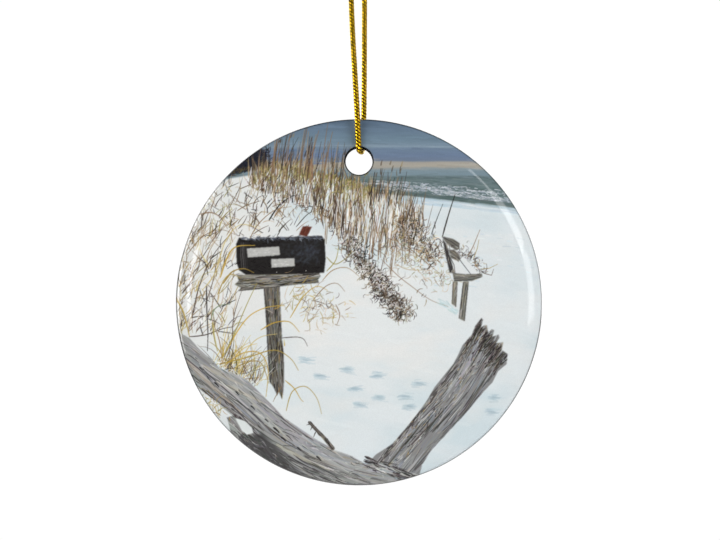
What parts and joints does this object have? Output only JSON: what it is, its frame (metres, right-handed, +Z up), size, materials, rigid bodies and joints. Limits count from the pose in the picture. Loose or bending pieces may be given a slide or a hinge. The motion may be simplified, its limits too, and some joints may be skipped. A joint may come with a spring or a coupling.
{
  "type": "hanging ornament",
  "caption": "Round glazed porcelain hanging ornament with a printed beach picture, a hanging hole and a knotted gold cord loop.",
  "frame": {"origin": "hanging point, inside the top of the cord loop", "axes": "+Z up along the hanging cord, the printed face towards -Y, +X to the right of the picture"},
  "size_m": [0.073, 0.0054, 0.1366],
  "materials": {
    "porcelain": "white gloss glaze",
    "picture": "gloss, printed",
    "gold_cord": "twisted metallic thread"
  },
  "bodies": {
    "hanger": {"cord_knot": "gold_cord", "cord_tail_left": "gold_cord", "cord_tail_right": "gold_cord"},
    "cord": {"hanging_cord": "gold_cord"},
    "ornament": {"ceramic_disc": "porcelain", "printed_coating": "picture"}
  },
  "joints": [
    {"name": "cord_twist", "type": "hinge", "parent": "hanger", "child": "cord", "pos_m": [0, 0, 0], "axis": [0, 0, 1], "range_deg": [-180, 180]},
    {"name": "disc_swing", "type": "hinge", "parent": "cord", "child": "ornament", "pos_m": [0, 0, -0.058], "axis": [0, 1, 0], "range_deg": [-90, 90]}
  ]
}
